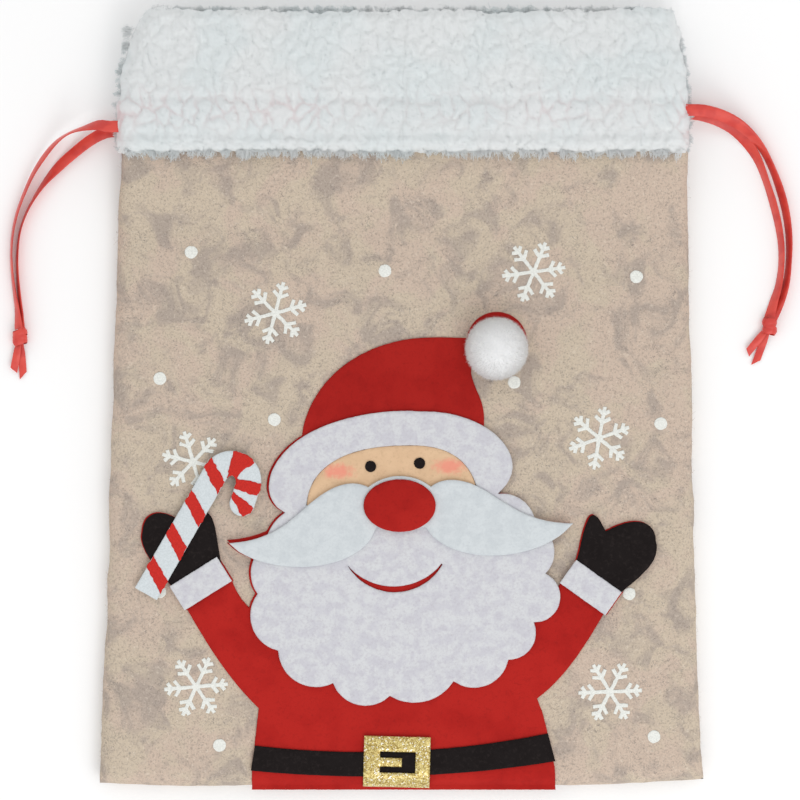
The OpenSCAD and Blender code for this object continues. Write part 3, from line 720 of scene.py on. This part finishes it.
def cuff_fuzz(name, side, points, out):
    """Short soft fibres over the pile, and locks past the lower edge, the top and the front's sides."""
    rows, columns = points.shape[:2]
    n = 12000 if side > 0 else 5000
    i, j = rng.integers(0, rows, n), rng.integers(0, columns, n)
    spots, normal = points[i, j], out[i, j]
    lining = (np.abs(spots[:, 2] - CUFF_SEAM_Z) < 4) & (np.abs(spots[:, 0]) < 132) & (spots[:, 1] < 192)
    roots, normal = (spots - normal * 0.3)[~lining], normal[~lining]
    tips = roots + (normal + rng.normal(size=roots.shape) * 0.5) * rng.uniform(0.5, 1.2, (len(roots), 1))

    locks = 190
    beside = locks // 2 if side > 0 else 0
    x = rng.uniform(-1, 1, locks)
    y = rng.uniform(CUFF_Y + 2, TOP_Y - 10, beside)
    edge = np.where(rng.random(beside) < 0.5, 1, -1)
    along = np.interp(y, CUFF_EDGE_Y, CUFF_RIGHT)
    low_z, mid_z = CUFF_SEAM_Z + side * 11.3, CUFF_SEAM_Z + side * 3.0
    starts = np.concatenate([
        np.stack([x * 141, CUFF_Y + rng.uniform(2.0, 3.4, locks), np.full(locks, low_z)], 1),
        np.stack([x[::-1] * 126, np.full(locks, TOP_Y - 2.2), np.full(locks, CUFF_SEAM_Z + side * 7)], 1),
        np.stack([edge * (along - 1.8), y, np.full(beside, mid_z)], 1)])
    ways = np.concatenate([np.tile((0, -1.2, -0.95 * side), (locks, 1)), np.tile((0, 0.55, 0), (locks, 1)),
                           np.stack([edge * 0.8, 0 * y, 0 * y], 1)])
    ways += rng.normal(size=ways.shape) * (0.22, 0.12, 0.05)
    ends = starts + ways * rng.uniform(1.6, 3.8, (len(starts), 1))
    strands = 20
    base = np.repeat(starts, strands, 0) + rng.normal(size=(len(starts) * strands, 3)) * (1.1, 0.5, 0.5)
    point = np.repeat(ends, strands, 0) + rng.normal(size=base.shape) * (0.3, 0.5, 0.25)
    up = np.tile((0.0, 0.0, side), (len(base), 1))
    roots, tips = np.concatenate([roots, base]), np.concatenate([tips, point])
    normal = np.concatenate([normal, up])
    tips[:, 2] = np.maximum(tips[:, 2], 0.05)
    for where, chosen in (("left", roots[:, 0] < 0), ("right", roots[:, 0] >= 0)):
        fuzz = tufts(f"{name}_fuzz_{where}", roots[chosen], tips[chosen], 0.3, LOOKS["fleece_white"],
                     where if side > 0 else "back", 0.25, normal[chosen])


# ---- cut felt pieces ----

def outlines(node):
    """The closed outlines of a flat CAD node's top face, in millimetres."""
    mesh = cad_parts[node].data
    co = np.array([v.co for v in mesh.vertices]) / MM
    top = co[:, 2].max()
    keys = [tuple(k) for k in np.round(co, 3)]
    edges = {}
    for face in mesh.polygons:
        if all(co[v, 2] > top - 0.002 for v in face.vertices):
            ring = [keys[v] for v in face.vertices]
            for a, b in zip(ring, ring[1:] + ring[:1]):
                if (b, a) in edges:
                    del edges[(b, a)]
                else:
                    edges[(a, b)] = True
    after = {a: b for a, b in edges}
    loops = []
    while after:
        first, point = next(iter(after.items()))
        del after[first]
        loop = [first]
        while point != first:
            loop.append(point)
            point = after.pop(point)
        loops.append(np.array(loop)[:, :2])
    return loops, top


def rounded(loop, step, corner=38):
    """The outline with its gentle bends smoothed, its sharp corners kept, and points about step apart."""
    before, after = np.roll(loop, 1, 0), np.roll(loop, -1, 0)
    a, b = loop - before, after - loop
    angle = np.degrees(np.arctan2(a[:, 0] * b[:, 1] - a[:, 1] * b[:, 0], (a * b).sum(1)))
    sharp = np.flatnonzero(np.abs(angle) > corner)
    if len(sharp) == 0:
        return smooth_ring(loop, step)
    pieces = []
    for k, start in enumerate(sharp):
        end = sharp[(k + 1) % len(sharp)]
        run = [loop[i % len(loop)] for i in range(start, end + 1 if end > start else end + len(loop) + 1)]
        pieces.append(smooth_line(np.c_[run, np.zeros(len(run))], step)[:-1, :2])
    return np.concatenate(pieces)


def smooth_ring(loop, step):
    p = np.c_[np.vstack([loop[-2:], loop, loop[:3]]), np.zeros(len(loop) + 5)]
    counts = [max(2, round(np.linalg.norm(c - b) / step)) for b, c in zip(p[2:-3], p[3:-2])]
    skip = [max(2, round(np.linalg.norm(c - b) / step)) for b, c in zip(p[:2], p[1:3])]
    return smooth_line(p, step)[sum(skip):sum(skip) + sum(counts), :2]


def inside(points, loops):
    """Whether each point is inside an odd number of the loops."""
    odd = np.zeros(len(points), bool)
    for loop in loops:
        for a, b in zip(loop, np.roll(loop, -1, 0)):
            crosses = (a[1] > points[:, 1]) != (b[1] > points[:, 1])
            if crosses.any():
                at = a[0] + (points[crosses, 1] - a[1]) / (b[1] - a[1]) * (b[0] - a[0])
                odd[crosses] ^= points[crosses, 0] < at
    return odd


def outward(loop):
    """Each point's direction away from the cloth."""
    way = np.roll(loop, -1, 0) - np.roll(loop, 1, 0)
    way /= np.maximum(np.linalg.norm(way, axis=1, keepdims=True), 1e-9)
    return np.stack([way[:, 1], -way[:, 0]], 1)


def fill_plan(loops, step, cuts=()):
    """Triangles over the cloth inside the loops. Returns plan points, triangles and which are on the edge."""
    edge = np.concatenate(loops)
    inset = np.concatenate([loop - outward(loop) * 0.45 for loop in loops])
    low, high = edge.min(0), edge.max(0)
    rows = np.arange(low[1], high[1], step * 0.87)
    grid = np.array([(x + (k % 2) * step / 2, y) for k, y in enumerate(rows)
                     for x in np.arange(low[0], high[0], step)])
    grid = grid[inside(grid, loops)] if len(grid) else np.zeros((0, 2))
    if len(grid):
        nearest = np.array([np.min(np.hypot(*(edge - g).T)) for g in grid])
        grid = grid[nearest > 1.0]
    inset = inset[inside(inset, loops)]
    lines = [np.stack([np.full(200, c), np.linspace(low[1] - 3, high[1] + 3, 200)], 1) for c in cuts]
    rings, first = [], 0
    for loop in loops:
        n = len(loop)
        rings += [(first + k, first + (k + 1) % n) for k in range(n)]
        first += n
    extra = first + len(inset) + len(grid)
    for line in lines:
        rings += [(extra + k, extra + k + 1) for k in range(len(line) - 1)]
        extra += len(line)
    cloud = np.concatenate([edge, inset, grid, *lines])
    found = delaunay_2d_cdt([Vector(p) for p in cloud], rings, [], 0, 1e-5)
    plan = np.array([tuple(p) for p in found[0]])
    faces = np.array([f for f in found[2] if len(f) == 3])
    faces = faces[inside(plan[faces].mean(1), loops)]
    on_edge = np.array([any(0 <= o < first for o in src) for src in found[3]])
    return plan, faces, on_edge


def cut_cloth(name, loops, top, thick, look, where, node, lift=None, ragged=0.08, step=2.4, cuts=(),
              soft_edge=0.35):
    """A piece of cut felt, draped over the sack and split along the cuts into pieces of its own."""
    wavy = []
    for loop in loops:
        n3 = np.c_[loop, np.full(len(loop), 3.0)]
        waves = ragged * (noise(n3, 1.6, 51) + 0.7 * noise(n3, 0.7, 52))
        wavy.append(loop + outward(loop) * waves[:, None])
    plan, faces, on_edge = fill_plan(wavy, step, cuts)
    x, y = plan.T
    low = on_felt(x, y) + (lift(x, y) if lift else 0 * x)
    surface = low + top + 0.05 * noise(np.c_[plan, 0 * x], 3, 53)
    surface[on_edge] -= soft_edge * thick
    a, b, c = plan[faces[:, 0]], plan[faces[:, 1]], plan[faces[:, 2]]
    turned = (b[:, 0] - a[:, 0]) * (c[:, 1] - a[:, 1]) - (b[:, 1] - a[:, 1]) * (c[:, 0] - a[:, 0]) < 0
    faces[turned] = faces[turned][:, ::-1]
    zone = np.zeros(len(faces), int)
    for cut in cuts:
        zone += plan[faces].mean(1)[:, 0] > cut
    for k in range(len(cuts) + 1):
        mine = faces[zone == k]
        if len(mine) == 0:
            continue
        used, index = np.unique(mine, return_inverse=True)
        index = index.reshape(mine.shape)
        directed = {}
        for f in index.tolist():
            for p, q in zip(f, f[1:] + f[:1]):
                if (q, p) in directed:
                    del directed[(q, p)]
                else:
                    directed[(p, q)] = True
        n = len(used)
        upper = np.stack([x[used], y[used], surface[used]], 1)
        lower = np.stack([x[used], y[used], low[used] + top - thick], 1)
        walls = [[q, p, p + n, q + n] for p, q in directed if on_edge[used[p]] and on_edge[used[q]]]
        under = (index[:, ::-1] + n).tolist()
        part = f"{name}_{k}" if cuts else name
        obj = make(part, np.concatenate([upper, lower]), index.tolist() + walls + under, look)
        ride_or_blend(obj, where[k] if cuts else where)
        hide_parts(node)


def on_felt(x, y):
    """How far the sack's front at a place is above its level top."""
    y_kept = np.maximum(y, bottom_edge(x) + 0.02)
    return felt_z(x, y_kept, 1) - FELT_TOP


def side_of(node):
    """Which side a piece goes with, "left" or "right", or the front when it is in the middle."""
    low, high = box_mm(node)
    if high[0] < -BLEND_IN + 16 and low[0] < -BLEND_IN:
        return "left"
    if low[0] > BLEND_IN - 16 and high[0] > BLEND_IN:
        return "right"
    return "front"


def cut_piece(node, look, lift=None, ragged=0.08, step=2.4):
    loops, top = outlines(node)
    thick = top - box_mm(node)[0][2]
    loops = [rounded(loop, 0.8) for loop in loops]
    cut_cloth(node + "_cloth", loops, top, thick, LOOKS[look], side_of(node), node, lift,
              ragged, step)


def moustache_lift(x, y):
    t = np.clip((np.abs(x + 1.5) - 50) / 38, 0, 1)
    return 1.3 * t * t


def make_backing():
    """Hat, coat, sleeves and the rim under the other pieces, with the hem wrapped to the bottom seam."""
    loops, top = outlines("red_backing")
    loops = [rounded(loop, 0.8) for loop in loops]
    hem, corner = COAT_LOW[1] - 0.2, COAT_LOW[1] + 9
    for loop in loops:
        t = np.clip((corner + 3 - loop[:, 1]) / 3.2, 0, 1)
        wrapped = np.minimum(loop[:, 1], hem + (1 - t) * (corner + 3 - hem))
        loop[:, 1] = np.where(t > 0, wrapped, loop[:, 1])
    cut_cloth("red_backing_cloth", loops, top, 1.2, LOOKS["felt_red"], ("left", "front", "right"),
              "red_backing", ragged=0.06, step=2.6, cuts=(-60, 60))


def make_figure():
    make_backing()
    cut_piece("face", "felt_skin")
    for node in ("left_eye", "right_eye"):
        cut_piece(node, "felt_black", step=1.2)
    cut_piece("beard_and_brim", "felt_white", ragged=0.07)
    cut_piece("moustache", "moustache_white", lift=moustache_lift, ragged=0.05)
    cut_piece("nose", "felt_red", ragged=0.05)
    for side in ("left", "right"):
        cut_piece(f"{side}_mitten", "felt_black")
        cut_piece(f"{side}_sleeve_cuff", "felt_white")
    cut_piece("candy_cane", "cane_white")
    cut_piece("candy_stripes", "flock_red", ragged=0.38, step=1.6)
    cut_piece("belt", "felt_black", ragged=0.06)
    cut_piece("buckle", "glitter_gold", ragged=0.03)


def make_prints():
    for k in range(1, 7):
        cut_piece(f"snowflake_{k}", "flock_white", ragged=0.16, step=1.2)
    loops, top = outlines("snow_dots")
    for k, loop in enumerate(loops):
        x = loop[:, 0].mean()
        where = "left" if x < -BLEND_IN else "right" if x > BLEND_IN else "front"
        cut_cloth(f"snow_dot_{k}", [rounded(loop, 0.6)], top, 0.35, LOOKS["flock_white"],
                  where, "snow_dots", ragged=0.14, step=1.2)


# ---- pompom ----

def make_pompom():
    low, high = box_mm("pompom")
    radius = (high[0] - low[0]) / 2
    centre = np.array([(low[0] + high[0]) / 2, (low[1] + high[1]) / 2, high[2] - radius])
    n = 26000
    k = np.arange(n) + 0.5
    lift, spin = 1 - 2 * k / n, k * math.pi * (3 - math.sqrt(5))
    level = np.sqrt(1 - lift ** 2)
    ball = np.stack([np.cos(spin) * level, np.sin(spin) * level, lift], 1)
    ball = ball[ball[:, 2] * radius + centre[2] > low[2]]
    tips = ball * (radius * rng.uniform(0.96, 1.085, len(ball)))[:, None] + centre
    tips += rng.normal(size=tips.shape) * 0.30
    hairs = tufts("pompom_pile", ball * radius * 0.92 + centre, tips, 0.14, LOOKS["pompom_white"], "front",
                  0.09, ball * 0.5 + (0, 0, 0.8))
    a, b = np.meshgrid(np.linspace(0, 2 * math.pi, 97), np.linspace(0, math.pi, 49), indexing="xy")
    core = np.stack([np.cos(a) * np.sin(b), np.sin(a) * np.sin(b), np.cos(b)], -1).reshape(-1, 3)
    size = 0.965 + 0.012 * fractal(core * radius, 3, 2, 62)
    heart = make("pompom_heart", core * radius * size[:, None] + centre, grid_faces(49, 97, flip=True),
                 LOOKS["pompom_white"])
    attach(heart, "front")
    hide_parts("pompom")


# ---- studio ----

FLOOR_HALF = 2500
WORLD_STRENGTH = 0.86
LAMP_WATTS, LAMP_SIDE = 9.0, 1.1
LAMP_AT = (0.5, -1.1, 1.35)     # in metres


def floor_white(tree):
    base = mix(tree, texture(tree, 300, 2), (0.985, 0.985, 0.985), (0.995, 0.995, 0.995))
    return {"Base Color": base, "Roughness": 1.0, "Specular IOR Level": 0.0}


def make_studio():
    scene = bpy.context.scene
    corners = [(-FLOOR_HALF, -FLOOR_HALF, 0), (FLOOR_HALF, -FLOOR_HALF, 0),
               (FLOOR_HALF, FLOOR_HALF, 0), (-FLOOR_HALF, FLOOR_HALF, 0)]
    floor = make("floor", corners, [[0, 1, 2, 3]], material("floor_white", floor_white), smooth=False)
    world = bpy.data.worlds.new("studio")
    world.use_nodes = True
    world.node_tree.nodes["Background"].inputs["Color"].default_value = (1, 1, 1, 1)
    world.node_tree.nodes["Background"].inputs["Strength"].default_value = WORLD_STRENGTH
    scene.world = world
    lamp = bpy.data.lights.new("soft_box", "AREA")
    lamp.shape, lamp.size, lamp.size_y = "RECTANGLE", LAMP_SIDE, LAMP_SIDE
    lamp.energy = LAMP_WATTS
    box = bpy.data.objects.new("soft_box", lamp)
    box.location = LAMP_AT
    box.rotation_euler = (-Vector(box.location)).to_track_quat("-Z", "Y").to_euler()
    scene.collection.objects.link(box)
    scene.view_settings.view_transform = "Standard"
    scene.cycles.use_denoising = True
    scene.cycles.max_bounces = 6


make_camera()
LOOKS = make_materials()
make_ribbons()
make_panel("back_panel", -1, 4)
make_panel("front_panel", 1, 2)
edge_hairs()
make_cuff("back_cuff", -1, 1.5)
make_cuff("front_cuff", 1, 0.8)
make_figure()
make_prints()
make_pompom()
make_studio()
